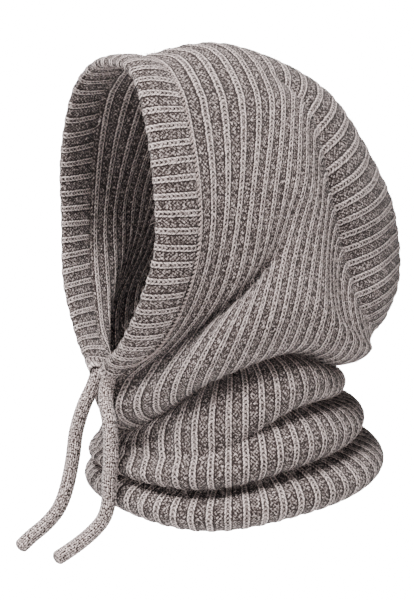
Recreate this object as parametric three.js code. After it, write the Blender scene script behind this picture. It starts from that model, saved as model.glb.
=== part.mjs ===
// A ribbed hood and snood knitted in one, with a folded band round the face and two drawcord ends.
// Millimetres. +Z is up, the face opening looks to -Y and the wearer's left is +X.
// The origin is the inside of the crown, where the hood rests on a head.
import * as THREE from "three";
import { mergeVertices } from "three/addons/utils/BufferGeometryUtils.js";

// Driving sizes
const HEIGHT = 371;
const HALF_WIDTH = 100;
const HALF_DEPTH = 100;
const NECK_RADIUS = 100;
const NECK_CENTRE_Y = 5;
const WALL = 3.5;
const GAP = 0.5;
const RIBS_PER_SIDE = 26;
const RIB_HEIGHT = 1.3;
const RELAXED_PITCH = 9;
const BAND_RIB_HEIGHT = 0.9;
const CORD_RADIUS = 5.7;

// The rolled neck, from the hem up. Heights are shares of HEIGHT above the hem and radii are
// shares of NECK_RADIUS. The columns go round from the front by way of the wearer's left.
// A fold is a crest that bulges, a cleft that tucks in, or plain cloth.
//    fold     pull  front  l.front left  l.back  back  r.back right  r.front
const NECK_HEIGHTS = [
  ["plain", 1.0, [0.043, 0.032, 0.059, 0.073, 0.078, 0.070, 0.054, 0.043]],
  ["crest", 0.9, [0.022, 0.008, 0.035, 0.049, 0.054, 0.046, 0.030, 0.022]],
  ["crest", 1.0, [0.065, 0.049, 0.081, 0.100, 0.108, 0.094, 0.075, 0.065]],
  ["cleft", 0.6, [0.100, 0.089, 0.129, 0.151, 0.162, 0.146, 0.119, 0.102]],
  ["crest", 1.0, [0.124, 0.129, 0.189, 0.200, 0.205, 0.192, 0.170, 0.124]],
  ["cleft", 0.6, [0.140, 0.175, 0.248, 0.243, 0.237, 0.232, 0.218, 0.145]],
  ["crest", 0.9, [0.156, 0.243, 0.302, 0.276, 0.267, 0.268, 0.268, 0.170]],
  ["cleft", 0.6, [0.189, 0.310, 0.361, 0.310, 0.300, 0.305, 0.334, 0.226]],
];
const NECK_RADII = [
  [0.84, 0.85, 0.85, 0.85, 0.85, 0.85, 0.85, 0.84],
  [1.03, 1.03, 1.02, 1.02, 1.02, 1.02, 1.02, 1.03],
  [1.21, 1.19, 1.20, 1.23, 1.22, 1.19, 1.19, 1.21],
  [1.09, 0.99, 0.98, 0.99, 0.99, 0.99, 1.01, 1.10],
  [1.18, 1.14, 1.11, 1.07, 1.05, 1.08, 1.11, 1.17],
  [1.12, 1.05, 0.91, 0.86, 0.85, 0.87, 0.94, 1.11],
  [1.08, 1.07, 1.03, 0.92, 0.91, 0.94, 1.01, 1.08],
  [0.98, 0.91, 0.87, 0.85, 0.82, 0.84, 0.88, 0.97],
];

// The hood above the neck, row by row from the first roll up to the middle of the crown.
// The stations follow the ribs from the front edge (first) to the last rib at the back (last),
// and give x, y and z on the wearer's left as shares of HALF_WIDTH, HALF_DEPTH and HEIGHT.
// drop is how far the same row hangs lower on the wearer's right, as a share of HEIGHT.
const HOOD_ROWS = [
  { fold: "crest", pull: 1.0, drop: 0.010, stations: [                      // belly of the first roll
    [0.00, -1.14, 0.243], [0.75, -0.86, 0.350], [1.03, -0.36, 0.431], [1.06, 0.10, 0.460],
    [1.03, 0.46, 0.400], [0.89, 0.78, 0.358], [0.00, 1.22, 0.332]] },
  { fold: "cleft", pull: 0.6, drop: 0.008, stations: [                      // slanting crease
    [0.00, -1.07, 0.302], [0.77, -0.50, 0.474], [0.96, -0.15, 0.571], [1.01, 0.18, 0.526],
    [1.00, 0.41, 0.442], [0.94, 0.71, 0.382], [0.00, 1.26, 0.336]] },
  { fold: "plain", pull: 1.0, drop: 0.004, stations: [                      // jaw
    [0.52, -0.93, 0.399], [0.90, -0.44, 0.550], [0.94, -0.04, 0.647], [0.97, 0.23, 0.580],
    [0.98, 0.39, 0.485], [0.96, 0.67, 0.402], [0.00, 1.30, 0.341]] },
  { fold: "plain", pull: 1.0, drop: 0.000, stations: [                      // side of the head
    [0.86, -0.81, 0.606], [0.92, -0.36, 0.674], [0.92, 0.08, 0.728], [0.94, 0.28, 0.639],
    [0.96, 0.40, 0.528], [0.95, 0.65, 0.422], [0.00, 1.36, 0.347]] },
  { fold: "crest", pull: 0.7, drop: 0.000, stations: [                      // side ridge
    [0.64, -0.80, 0.892], [0.68, -0.13, 0.895], [0.74, 0.24, 0.868], [0.90, 0.34, 0.690],
    [0.92, 0.46, 0.562], [0.93, 0.65, 0.436], [0.00, 1.42, 0.353]] },
  { fold: "cleft", pull: 0.8, drop: 0.000, stations: [                      // gutter behind the ridge
    [0.40, -0.78, 0.950], [0.42, -0.10, 0.965], [0.64, 0.37, 0.862], [0.78, 0.49, 0.680],
    [0.80, 0.61, 0.552], [0.82, 0.80, 0.427], [0.00, 1.45, 0.359]] },
  { fold: "plain", pull: 0.9, drop: 0.000, stations: [                      // back panel
    [0.20, -0.77, 0.970], [0.21, -0.06, 0.992], [0.42, 0.68, 0.890], [0.60, 1.00, 0.697],
    [0.60, 1.14, 0.563], [0.58, 1.20, 0.440], [0.00, 1.48, 0.366]] },
  { fold: "plain", pull: 0.8, drop: 0.000, stations: [                      // middle of crown and back
    [0.00, -0.76, 0.976], [0.00, -0.04, 1.000], [0.00, 0.86, 0.897], [0.00, 1.46, 0.700],
    [0.00, 1.65, 0.563], [0.00, 1.64, 0.444], [0.00, 1.50, 0.372]] },
];
const NECK_ROWS = NECK_HEIGHTS.length;
const CHIN_ROW = NECK_ROWS + 1;
const CROWN_ROW = NECK_ROWS + HOOD_ROWS.length - 1;

// Steps between one row and the next. Outside each rib is drawn as a crest and a hollow.
const STEPS = [1, 2, 3, 3, 3, 3, 3, 3, 3, 4, 2, 3, 1, 2, 2];
const OUTER_COLUMNS = 2 * RIBS_PER_SIDE;
const INNER_COLUMNS = 12;

// Cubic through b and c, with the slope at each taken from its neighbours.
function throughFour(a, b, c, d, f) {
  const startSlope = (c - a) / 2;
  const endSlope = (d - b) / 2;
  return hermite(b, startSlope, c, endSlope, f);
}

function hermite(from, startSlope, to, endSlope, f) {
  const f2 = f * f;
  const f3 = f2 * f;
  return (2 * f3 - 3 * f2 + 1) * from + (f3 - 2 * f2 + f) * startSlope
    + (3 * f2 - 2 * f3) * to + (f3 - f2) * endSlope;
}

// A value round the neck from the eight columns; turn runs 0 to 1 by way of the left.
function roundNeck(columns, turn) {
  const count = columns.length;
  const place = turn * count;
  const i = Math.floor(place);
  const at = (k) => columns[(i + k + count) % count];
  return throughFour(at(-1), at(0), at(1), at(2), place - i);
}

function neckPoint(row, u, side) {
  const turn = side > 0 ? u / 2 : 1 - u / 2;
  const radius = NECK_RADIUS * roundNeck(NECK_RADII[row], turn % 1);
  const angle = 2 * Math.PI * turn;
  return new THREE.Vector3(
    radius * Math.sin(angle),
    NECK_CENTRE_Y - radius * Math.cos(angle),
    HEIGHT * (roundNeck(NECK_HEIGHTS[row][2], turn % 1) - 1) + WALL,
  );
}

// Past the last station the row goes on as its mirror image, and past the front edge it goes
// on straight, or as its mirror image where the row crosses the middle.
function hoodPoint(row, u, side) {
  const { stations, drop } = row;
  const last = stations.length - 1;
  const place = Math.min(u * last, last - 1e-9);
  const i = Math.floor(place);
  const crossesMiddle = stations[0][0] === 0;
  const at = (k, axis) => {
    if (k > last) return (axis === 0 ? -1 : 1) * stations[2 * last - k][axis];
    if (k >= 0) return stations[k][axis];
    if (crossesMiddle) return (axis === 0 ? -1 : 1) * stations[-k][axis];
    return 2 * stations[0][axis] - stations[1][axis];
  };
  const axisValue = (axis) => throughFour(
    at(i - 1, axis), at(i, axis), at(i + 1, axis), at(i + 2, axis), place - i);
  const lower = side < 0 ? drop * Math.sin(Math.PI * u) : 0;
  return new THREE.Vector3(
    side * HALF_WIDTH * axisValue(0),
    HALF_DEPTH * axisValue(1),
    HEIGHT * (axisValue(2) - lower - 1) + WALL,
  );
}

// The hood's clefts fade out over EDGE_FADE of a side towards the face edge and the nape. On the
// wearer's right the slanting crease is hardly pressed in, and its row lies near the line
// between its neighbours.
const EDGE_FADE = 0.12;
const RIGHT_CREASE = 0.25;

function rowPoint(row, u, side) {
  if (row < NECK_ROWS) return neckPoint(row, u, side);
  if (row > CROWN_ROW) return rowPoint(2 * CROWN_ROW - row, u, -side);
  const point = hoodPoint(HOOD_ROWS[row - NECK_ROWS], u, side);
  if (row !== CHIN_ROW || side > 0) return point;
  const smooth = rowPoint(row - 1, u, side).lerp(rowPoint(row + 1, u, side), 0.5);
  const softened = (1 - RIGHT_CREASE) * THREE.MathUtils.smoothstep(u, 0, EDGE_FADE)
    * THREE.MathUtils.smoothstep(1 - u, 0, EDGE_FADE);
  return point.lerp(smooth, softened);
}

// Slopes of the cloth where it arrives at a row and where it leaves it. On a crest or on plain
// cloth both follow the mean direction. A cleft sends both inwards, with the more force the
// nearer to the head's middle it lies than its two neighbours, and CLEFT_WIDTH keeps its two
// sides apart.
const HEAD_MIDDLE_Z = -0.4 * HEIGHT;
const SHALLOW_CLEFT = 1;
const DEEP_CLEFT = 10;
const CLEFT_WIDTH = 0.45;

function rowSlopes(row, u, side) {
  const here = rowPoint(row, u, side);
  const above = rowPoint(row + 1, u, side);
  const below = row > 0 ? rowPoint(row - 1, u, side) : here.clone().multiplyScalar(2).sub(above);
  const [fold, pull] = row < NECK_ROWS
    ? NECK_HEIGHTS[row]
    : [HOOD_ROWS[row - NECK_ROWS].fold, HOOD_ROWS[row - NECK_ROWS].pull];
  const rise = above.clone().sub(here);
  const drop = here.clone().sub(below);
  const lengthAbove = rise.length();
  const lengthBelow = drop.length();
  const along = rise.clone().divideScalar(lengthAbove).addScaledVector(drop, 1 / lengthBelow)
    .normalize();
  const slopes = {
    here,
    arrive: along.clone().multiplyScalar(lengthBelow * pull),
    leave: along.clone().multiplyScalar(lengthAbove * pull),
  };
  if (fold !== "cleft") return slopes;
  const straight = below.clone().lerp(above, lengthBelow / (lengthAbove + lengthBelow));
  const middle = new THREE.Vector3(0, NECK_CENTRE_Y, Math.min(here.z, HEAD_MIDDLE_Z));
  const depth = straight.distanceTo(middle) - here.distanceTo(middle);
  const fromEnds = row < CHIN_ROW ? 1 : Math.min(u / EDGE_FADE, (1 - u) / EDGE_FADE, 1);
  const share = fromEnds
    * THREE.MathUtils.clamp((depth - SHALLOW_CLEFT) / (DEEP_CLEFT - SHALLOW_CLEFT), 0, 1);
  const outwards = straight.sub(here).normalize().multiplyScalar(share * pull);
  slopes.arrive.multiplyScalar(1 - share * (1 - CLEFT_WIDTH))
    .addScaledVector(outwards, -lengthBelow);
  slopes.leave.multiplyScalar(1 - share * (1 - CLEFT_WIDTH))
    .addScaledVector(outwards, lengthAbove);
  return slopes;
}

// A point of the cloth's outer face. turn runs 0 to 1 from the front edge to the back on the
// left, and 1 to 2 back to the front edge on the right; level counts rows from the hem.
function clothPoint(turn, level) {
  let side = turn > 1 ? -1 : 1;
  let u = turn > 1 ? 2 - turn : turn;
  if (turn < 0) {
    side = -1;
    u = -turn;
  }
  if (level > CROWN_ROW) {
    side = -side;
    level = 2 * CROWN_ROW - level;
  }
  const row = Math.min(Math.floor(level), CROWN_ROW - 1);
  const start = rowSlopes(row, u, side);
  const end = rowSlopes(row + 1, u, side);
  const f = level - row;
  const axisValue = (axis) => hermite(
    start.here[axis], start.leave[axis], end.here[axis], end.arrive[axis], f);
  return new THREE.Vector3(axisValue("x"), axisValue("y"), axisValue("z"));
}

// Outward normal, the direction in the cloth square to its ribs, and the width of one rib.
// At the face edge the slope is one-sided.
function clothFrame(turn, level) {
  const stepTurn = 0.004;
  const stepLevel = 0.03;
  const onFaceEdge = level > CHIN_ROW - 0.5;
  const before = onFaceEdge && turn < stepTurn ? turn : turn - stepTurn;
  const after = onFaceEdge && turn > 2 - stepTurn ? turn : turn + stepTurn;
  const across = clothPoint(after > 2 ? after - 2 : after, level).sub(clothPoint(before, level));
  const up = clothPoint(turn, level + stepLevel)
    .sub(clothPoint(turn, Math.max(level - stepLevel, 0)));
  const ribWidth = across.length() / ((after - before) * RIBS_PER_SIDE);
  const normal = across.clone().cross(up).normalize();
  return { normal, inwards: up.cross(normal).normalize(), ribWidth };
}

// The ribbed outer face, or the plain inner face one wall behind it.
function clothVertex(turn, level, ribbed) {
  const { normal, ribWidth } = clothFrame(turn, level);
  const point = clothPoint(turn, level);
  if (!ribbed) return point.addScaledVector(normal, -WALL);
  const rib = Math.cos(2 * Math.PI * RIBS_PER_SIDE * turn);
  return point.addScaledVector(normal, RIB_HEIGHT * rib * Math.min(1, ribWidth / RELAXED_PITCH));
}

function levelsOf(steps) {
  const levels = steps.flatMap((count, row) =>
    Array.from({ length: count }, (_, k) => row + k / count));
  return [...levels, steps.length];
}

class Faces {
  constructor() {
    this.corners = [];
  }

  triangle(a, b, c) {
    this.corners.push(a.x, a.y, a.z, b.x, b.y, b.z, c.x, c.y, c.z);
  }

  quad(a, b, c, d) {
    this.triangle(a, b, c);
    this.triangle(a, c, d);
  }

  // Joins two edges whose points both run from the first to the last at an even share.
  strip(near, far) {
    let i = 0;
    let j = 0;
    while (i < near.length - 1 || j < far.length - 1) {
      const nextNear = (i + 1) / (near.length - 1);
      const nextFar = (j + 1) / (far.length - 1);
      if (j === far.length - 1 || (i < near.length - 1 && nextNear <= nextFar)) {
        this.triangle(near[i], near[i + 1], far[j]);
        i += 1;
      } else {
        this.triangle(near[i], far[j + 1], far[j]);
        j += 1;
      }
    }
  }

  geometry() {
    const loose = new THREE.BufferGeometry();
    loose.setAttribute("position", new THREE.Float32BufferAttribute(this.corners, 3));
    const merged = mergeVertices(loose, 1e-3);
    merged.computeVertexNormals();
    return merged;
  }
}

function clothGrid(columns, levels, ribbed) {
  return Array.from({ length: 2 * columns + 1 }, (_, j) =>
    levels.map((level) => clothVertex(j / columns, level, ribbed)));
}

// Brings the points that two parts of a grid share to the same place: the front centre below
// the chin, and the middle of the crown, where left and right meet.
function closeGrid(grid, levels) {
  const last = grid.length - 1;
  levels.forEach((level, k) => {
    if (level < CHIN_ROW + 1e-9) grid[last][k] = grid[0][k];
  });
  const top = levels.length - 1;
  for (let j = 0; j <= last / 2; j += 1) {
    grid[j][top].x = 0;
    grid[last - j][top] = grid[j][top];
  }
  return grid;
}

function makeKnitBody() {
  const levels = levelsOf(STEPS);
  const outer = closeGrid(clothGrid(OUTER_COLUMNS, levels, true), levels);
  const inner = closeGrid(clothGrid(INNER_COLUMNS, levels, false), levels);
  const faces = new Faces();
  for (let j = 0; j < outer.length - 1; j += 1) {
    for (let k = 0; k < levels.length - 1; k += 1) {
      faces.quad(outer[j][k], outer[j + 1][k], outer[j + 1][k + 1], outer[j][k + 1]);
    }
  }
  for (let j = 0; j < inner.length - 1; j += 1) {
    for (let k = 0; k < levels.length - 1; k += 1) {
      faces.quad(inner[j][k + 1], inner[j + 1][k + 1], inner[j + 1][k], inner[j][k]);
    }
  }
  faces.strip(inner.map((column) => column[0]), outer.map((column) => column[0]));
  const chin = levels.findIndex((level) => level > CHIN_ROW - 1e-9);
  const last = { outer: outer.at(-1), inner: inner.at(-1) };
  for (let k = chin; k < levels.length - 1; k += 1) {
    faces.quad(outer[0][k + 1], inner[0][k + 1], inner[0][k], outer[0][k]);
    faces.quad(last.outer[k + 1], last.outer[k], last.inner[k], last.inner[k + 1]);
  }
  return faces.geometry();
}

// Front edge of the face band, from the chin to the top: x, y and z on the wearer's left as
// shares of HALF_WIDTH, HALF_DEPTH and HEIGHT.
const BAND_EDGE = [
  [0.03, -1.22, 0.320], [0.19, -1.22, 0.356], [0.37, -1.20, 0.405], [0.60, -1.17, 0.495],
  [0.73, -1.11, 0.612], [0.72, -1.12, 0.755], [0.55, -1.11, 0.888], [0.31, -1.08, 0.952],
  [0.00, -1.06, 0.965],
];
// Section of the band: place across its width from the front edge to the seam, and how far
// the knit stands out of its middle, in millimetres. It is a folded casing, so it is thick.
const BAND_SECTION = [
  [0.00, 0.0], [0.05, 3.0], [0.28, 5.2], [0.62, 5.0], [0.90, 3.2], [1.00, 1.8],
  [1.00, -1.8], [0.65, -3.4], [0.28, -3.9], [0.05, -2.8],
];
// Share of the band's edge that each row of the hood from the chin up has reached.
const BAND_SHARES = [0, 0.25, 0.5, 0.75, 0.86, 0.93, 1];
const BAND_STEPS = 36;
// The casing ends just above the chin point, where the cord inside swells it.
const BAND_START = 1.4;
const TIP_SWELL = 0.3;
const TIP_LENGTH = 0.08;

function bandEdgePoint(share) {
  const last = BAND_EDGE.length - 1;
  const place = Math.min(share * last, last - 1e-9);
  const i = Math.floor(place);
  const at = (k, axis) => {
    if (k > last) return (axis === 0 ? -1 : 1) * BAND_EDGE[2 * last - k][axis];
    return BAND_EDGE[Math.max(k, 0)][axis];
  };
  const value = (axis) => throughFour(
    at(i - 1, axis), at(i, axis), at(i + 1, axis), at(i + 2, axis), place - i);
  return new THREE.Vector3(
    HALF_WIDTH * value(0), HALF_DEPTH * value(1), HEIGHT * (value(2) - 1) + WALL);
}

// Middle of the hood's edge wall at a level, and the wall's normal there.
function seamAt(level) {
  const { normal } = clothFrame(0, level);
  return { point: clothPoint(0, level).addScaledVector(normal, -WALL / 2), normal };
}

// One section of the band. The seam runs straight between the hood's own levels, so the band
// stays one gap off the faceted edge. Where band and wall meet at an angle, the band stops
// short by as much as the wall's half thickness reaches over.
function bandSection(levels, place, ribbed) {
  const k = Math.min(Math.floor(place), levels.length - 2);
  const start = seamAt(levels[k]);
  const end = seamAt(levels[k + 1]);
  const seam = start.point.lerp(end.point, place - k);
  const wallNormal = start.normal.lerp(end.normal, place - k).normalize();
  const level = THREE.MathUtils.lerp(levels[k], levels[k + 1], place - k);
  const row = Math.min(Math.floor(level), CROWN_ROW - 1) - CHIN_ROW;
  const share = THREE.MathUtils.lerp(
    BAND_SHARES[row], BAND_SHARES[row + 1], level - CHIN_ROW - row);
  const edge = bandEdgePoint(share);
  const width = seam.clone().sub(edge);
  const path = bandEdgePoint(Math.min(share + 0.01, 1)).sub(bandEdgePoint(share - 0.01));
  const outwards = width.clone().cross(path).normalize();
  const bend = outwards.dot(wallNormal) > 0 ? outwards.clone().cross(wallNormal).length() : 1;
  const reach = GAP + bend * (WALL / 2 + RIB_HEIGHT);
  width.setLength(width.length() - reach);
  const swell = 1 + TIP_SWELL * Math.exp(-share / TIP_LENGTH);
  return BAND_SECTION.map(([acrossShare, stand]) => {
    const rib = acrossShare < 1 ? ribbed * BAND_RIB_HEIGHT * Math.sign(stand) : 0;
    return edge.clone().addScaledVector(width, acrossShare)
      .addScaledVector(outwards, stand * swell + rib);
  });
}

function makeFaceBand() {
  const levels = levelsOf(STEPS).filter((level) => level > CHIN_ROW - 1e-9);
  const places = Array.from({ length: BAND_STEPS + 1 }, (_, k) =>
    THREE.MathUtils.lerp(BAND_START, levels.length - 1, k / BAND_STEPS));
  const left = places.map((place, k) => bandSection(levels, place, k % 2 ? 0.5 : -0.5));
  left.at(-1).forEach((point) => point.setX(0));
  const mirrored = left.slice(0, -1).reverse().map((section) =>
    section.map((point) => point.clone().multiply(new THREE.Vector3(-1, 1, 1))));
  const sections = [...left, ...mirrored];
  const sides = BAND_SECTION.length;
  const faces = new Faces();
  for (let k = 0; k < sections.length - 1; k += 1) {
    for (let j = 0; j < sides; j += 1) {
      const n = (j + 1) % sides;
      faces.quad(sections[k][n], sections[k + 1][n], sections[k + 1][j], sections[k][j]);
    }
  }
  for (let j = 1; j < sides - 1; j += 1) {
    faces.triangle(sections[0][0], sections[0][j + 1], sections[0][j]);
    faces.triangle(sections.at(-1)[0], sections.at(-1)[j], sections.at(-1)[j + 1]);
  }
  return faces.geometry();
}

// Free ends of the drawcord, from the band's tip down: x and y, and z up from the hem.
const LEFT_CORD_ROUTE = [
  [13.6, -113.7, 124.6], [10.9, -114.2, 122.4], [9.3, -115.2, 117.5], [9.4, -117.5, 109],
  [14, -120.5, 98], [22, -122, 85], [24, -122, 63], [23, -123, 40], [22, -124, 20],
  [19, -127, 8], [16, -134, -1], [14, -143, -8], [14, -155, -14], [14, -167, -19],
];
const RIGHT_CORD_ROUTE = [
  [-13.6, -113.7, 124.6], [-10.9, -114.2, 122.4], [-9.3, -115.4, 117.5], [-9.4, -119, 108],
  [-11.5, -126, 93], [-14, -132, 72], [-14, -135, 53], [-14, -139, 35], [-14, -144, 20],
  [-14, -150, 10], [-14, -160, 1], [-14, -173, -7], [-14, -184, -15],
];
const CORD_SIDES = 8;
const CORD_STEPS = 17;

function makeCord(route) {
  const path = new THREE.CatmullRomCurve3(
    route.map(([x, y, z]) => new THREE.Vector3(x, y, z - HEIGHT + WALL)));
  const ring = new THREE.Shape(Array.from({ length: CORD_SIDES }, (_, k) => {
    const angle = 2 * Math.PI * k / CORD_SIDES;
    return new THREE.Vector2(CORD_RADIUS * Math.cos(angle), CORD_RADIUS * Math.sin(angle));
  }));
  const swept = new THREE.ExtrudeGeometry(ring, { extrudePath: path, steps: CORD_STEPS });
  swept.deleteAttribute("normal");
  swept.deleteAttribute("uv");
  const merged = mergeVertices(swept, 1e-3);
  merged.computeVertexNormals();
  return merged;
}

function knitMaterial(color) {
  return new THREE.MeshStandardMaterial({ color, roughness: 0.95, metalness: 0 });
}

function namedMesh(name, geometry, color) {
  const mesh = new THREE.Mesh(geometry, knitMaterial(color));
  mesh.name = name;
  return mesh;
}

const hood = new THREE.Group();
hood.add(
  namedMesh("knit_body", makeKnitBody(), 0x9a8f89),
  namedMesh("face_band", makeFaceBand(), 0xa0958f),
  namedMesh("cord_left", makeCord(LEFT_CORD_ROUTE), 0x8f8580),
  namedMesh("cord_right", makeCord(RIGHT_CORD_ROUTE), 0x8f8580),
);

export default hood;
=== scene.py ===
import math

import bpy
import numpy as np
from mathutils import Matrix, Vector


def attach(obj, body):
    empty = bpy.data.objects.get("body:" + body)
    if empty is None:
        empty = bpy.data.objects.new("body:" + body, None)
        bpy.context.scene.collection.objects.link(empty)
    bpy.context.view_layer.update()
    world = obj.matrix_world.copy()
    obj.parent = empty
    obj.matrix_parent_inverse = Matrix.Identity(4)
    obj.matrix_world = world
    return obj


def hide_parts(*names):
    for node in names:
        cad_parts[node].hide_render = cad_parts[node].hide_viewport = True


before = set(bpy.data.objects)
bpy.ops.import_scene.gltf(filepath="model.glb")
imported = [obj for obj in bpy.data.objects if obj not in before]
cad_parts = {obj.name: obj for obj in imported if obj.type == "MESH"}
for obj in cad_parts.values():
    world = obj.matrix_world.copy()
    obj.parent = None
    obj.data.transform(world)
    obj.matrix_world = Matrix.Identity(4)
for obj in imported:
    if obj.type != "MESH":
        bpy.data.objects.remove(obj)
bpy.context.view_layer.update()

# Camera: to the wearer's front left and a little above, looking at the middle of the hood.
CAMERA_AZIMUTH = math.radians(58)
CAMERA_ELEVATION = math.radians(10)
CAMERA_DISTANCE = 1.4
CAMERA_TARGET = Vector((0, -0.020, -0.1995))
FOCAL_LENGTH_MM = 105
IMAGE_HEIGHT_MM = 36


def add_object(name, data):
    added = bpy.data.objects.new(name, data)
    bpy.context.collection.objects.link(added)
    return added


camera_data = bpy.data.cameras.new("camera")
camera_data.sensor_width = IMAGE_HEIGHT_MM
camera_data.lens = FOCAL_LENGTH_MM
camera = add_object("camera", camera_data)
towards_camera = Vector((
    math.sin(CAMERA_AZIMUTH) * math.cos(CAMERA_ELEVATION),
    -math.cos(CAMERA_AZIMUTH) * math.cos(CAMERA_ELEVATION),
    math.sin(CAMERA_ELEVATION),
))
camera.location = CAMERA_TARGET + CAMERA_DISTANCE * towards_camera
camera.rotation_mode = "QUATERNION"
camera.rotation_quaternion = (-towards_camera).to_track_quat("-Z", "Y")
bpy.context.scene.camera = camera

# Drawcord ends: a tube knitted of stocking stitch, about as thick as a finger's tip is wide.
# Each comes out of an open end of the face band, hangs over the front of the neck and curls
# forwards at its bare, rounded end.
MM = 0.001
HEM_Z = -0.3675
CORD_RADIUS = 0.0057
CORD_END = 0.0045
# Height of one course of stitches, and the cord's own stitches and mesh.
COURSE = 0.0033
CORD_WALES = 10
CORD_SIDES = 6 * CORD_WALES
RINGS_PER_COURSE = 5
STITCH_DEPTH = 0.0008
CORD_BUMP = 0.0004

# x, y and height above the hem, in millimetres, from the band's end down.
CORD_ROUTES = {
    "cord_left": [
        (13.6, -113.7, 124.6), (10.9, -114.2, 122.4), (9.3, -115.2, 117.5), (9.4, -117.5, 109),
        (14, -120.5, 98), (22, -122, 85), (24, -122, 63), (23, -123, 40), (22, -124, 20),
        (19, -127, 8), (16, -134, -1), (14, -143, -8), (14, -155, -14), (14, -167, -19),
    ],
    "cord_right": [
        (-13.6, -113.7, 124.6), (-10.9, -114.2, 122.4), (-9.3, -115.4, 117.5), (-9.4, -119, 108),
        (-11.5, -126, 93), (-14, -132, 72), (-14, -135, 53), (-14, -139, 35), (-14, -144, 20),
        (-14, -150, 10), (-14, -160, 1), (-14, -173, -7), (-14, -184, -15),
    ],
}
CORD_LENGTHS = {"cord_left": 0.171, "cord_right": 0.164}


def hermite(start, start_slope, end, end_slope, f):
    """Cubic from start to end, with its slopes at both."""
    f2 = f * f
    f3 = f2 * f
    return ((2 * f3 - 3 * f2 + 1) * start + (f3 - 2 * f2 + f) * start_slope
            + (3 * f2 - 2 * f3) * end + (f3 - f2) * end_slope)


def length_of(vectors):
    return np.linalg.norm(vectors, axis=-1, keepdims=True)


def unit(vectors):
    return vectors / np.maximum(length_of(vectors), 1e-12)


def running_length(points):
    """Distance along each line of points from its first one."""
    steps = np.linalg.norm(np.diff(points, axis=-2), axis=-1)
    return np.concatenate([np.zeros_like(steps[..., :1]), np.cumsum(steps, axis=-1)], axis=-1)


def points_at(places, known, points):
    """Points on a line at given places, from the points at its known places."""
    return np.stack([np.interp(places, known, points[:, axis]) for axis in range(3)], axis=1)


def smooth_path(points, count):
    """Evenly spaced points on a smooth line through the given ones."""
    points = np.array(points, float)
    padded = np.vstack([2 * points[0] - points[1], points, 2 * points[-1] - points[-2]])
    knots = np.concatenate([[0], np.cumsum(np.linalg.norm(np.diff(padded, axis=0), axis=1) ** 0.5)])
    fine = []
    for i in range(1, len(padded) - 2):
        t0, t1, t2, t3 = knots[i - 1:i + 3]
        p0, p1, p2, p3 = padded[i - 1:i + 3]
        span = t2 - t1
        start_slope = span * ((p1 - p0) / (t1 - t0) - (p2 - p0) / (t2 - t0) + (p2 - p1) / span)
        end_slope = span * ((p2 - p1) / span - (p3 - p1) / (t3 - t1) + (p3 - p2) / (t3 - t2))
        f = np.linspace(0, 1, 40, endpoint=False)[:, None]
        fine.append(hermite(p1, start_slope, p2, end_slope, f))
    fine = np.vstack(fine + [points[-1:]])
    length = running_length(fine)
    return points_at(np.linspace(0, length[-1], count), length, fine)


def frames_along(path):
    """Two cross directions at each point of a path, carried along it without twisting."""
    tangents = unit(np.gradient(path, axis=0))
    side = unit(np.cross(tangents[0], (0.0, 1.0, 0.0)))
    sides = []
    for tangent in tangents:
        side = unit(side - tangent * (side @ tangent))
        sides.append(side)
    return np.array(sides), np.cross(tangents, sides)


def grid_faces(index, coordinates):
    """Quads between the columns and rows of a grid of vertex numbers, with their UVs."""
    low, high = slice(None, -1), slice(1, None)
    corners = ((low, low), (high, low), (high, high), (low, high))
    faces = np.stack([index[corner] for corner in corners], axis=-1).reshape(-1, 4)
    uvs = np.stack([coordinates[corner] for corner in corners], axis=-2).reshape(-1, 4, 2)
    return faces, uvs


def fan(first, second, centre, coordinate):
    """Triangles from each pair of neighbours on a rim to its centre, with their UVs."""
    faces = np.stack([first, second, np.full_like(first, centre)], axis=1)
    return faces, np.full(faces.shape + (2,), coordinate)


def make_piece(name, points, face_sets, material):
    """A smooth mesh object from points and sets of faces with UVs."""
    faces = [tuple(face) for group, _ in face_sets for face in group.tolist()]
    uvs = np.concatenate([group_uvs.reshape(-1, 2) for _, group_uvs in face_sets])
    mesh = bpy.data.meshes.new(name)
    mesh.from_pydata(points.tolist(), [], faces)
    mesh.uv_layers.new(name="stitches").data.foreach_set("uv", uvs.ravel())
    mesh.shade_smooth()
    mesh.materials.append(material)
    return add_object(name, mesh)


def stocking_stitch(wale, course):
    """Height from 0 to 1 of knit stitches: two slanting legs of yarn to each wale and course."""
    across = wale - np.floor(wale)
    leg = np.abs(across - 0.5)
    between = np.sqrt(np.abs(np.sin(2 * np.pi * leg)))
    slant = np.sqrt(np.abs(np.sin(np.pi * (course + 1.5 * leg))))
    return between * slant


class Nodes:
    """Adds nodes to one tree, fed with values or with other nodes' outputs."""

    def __init__(self, tree):
        self.tree = tree

    def feed(self, node, inputs):
        for key, value in inputs.items():
            if isinstance(value, bpy.types.NodeSocket):
                self.tree.links.new(value, node.inputs[key])
            else:
                node.inputs[key].default_value = value

    def add(self, kind, inputs=(), output=0, **settings):
        """The output of a new node with the given inputs and settings."""
        node = self.tree.nodes.new(kind)
        for name, value in settings.items():
            setattr(node, name, value)
        self.feed(node, dict(inputs))
        return node.outputs[output]

    def math(self, operation, *values):
        return self.add("ShaderNodeMath", dict(enumerate(values)), operation=operation)

    def smooth_range(self, value, start, end, at_start, at_end):
        return self.add(
            "ShaderNodeMapRange", {0: value, 1: start, 2: end, 3: at_start, 4: at_end},
            interpolation_type="SMOOTHSTEP")

    def vector(self, operation, *values):
        return self.add("ShaderNodeVectorMath", dict(enumerate(values)), operation=operation)

    def scaled(self, vector, scale):
        return self.add("ShaderNodeVectorMath", {0: vector, 3: scale}, operation="SCALE")

    def noise(self, place, scale, detail, roughness=0.5, output=0):
        inputs = {"Vector": place, "Scale": scale, "Detail": detail, "Roughness": roughness}
        return self.add("ShaderNodeTexNoise", inputs, output)

    def mix(self, share, first, second):
        return self.add(
            "ShaderNodeMix", {0: share, 6: first, 7: second}, output=2, data_type="RGBA")


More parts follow.
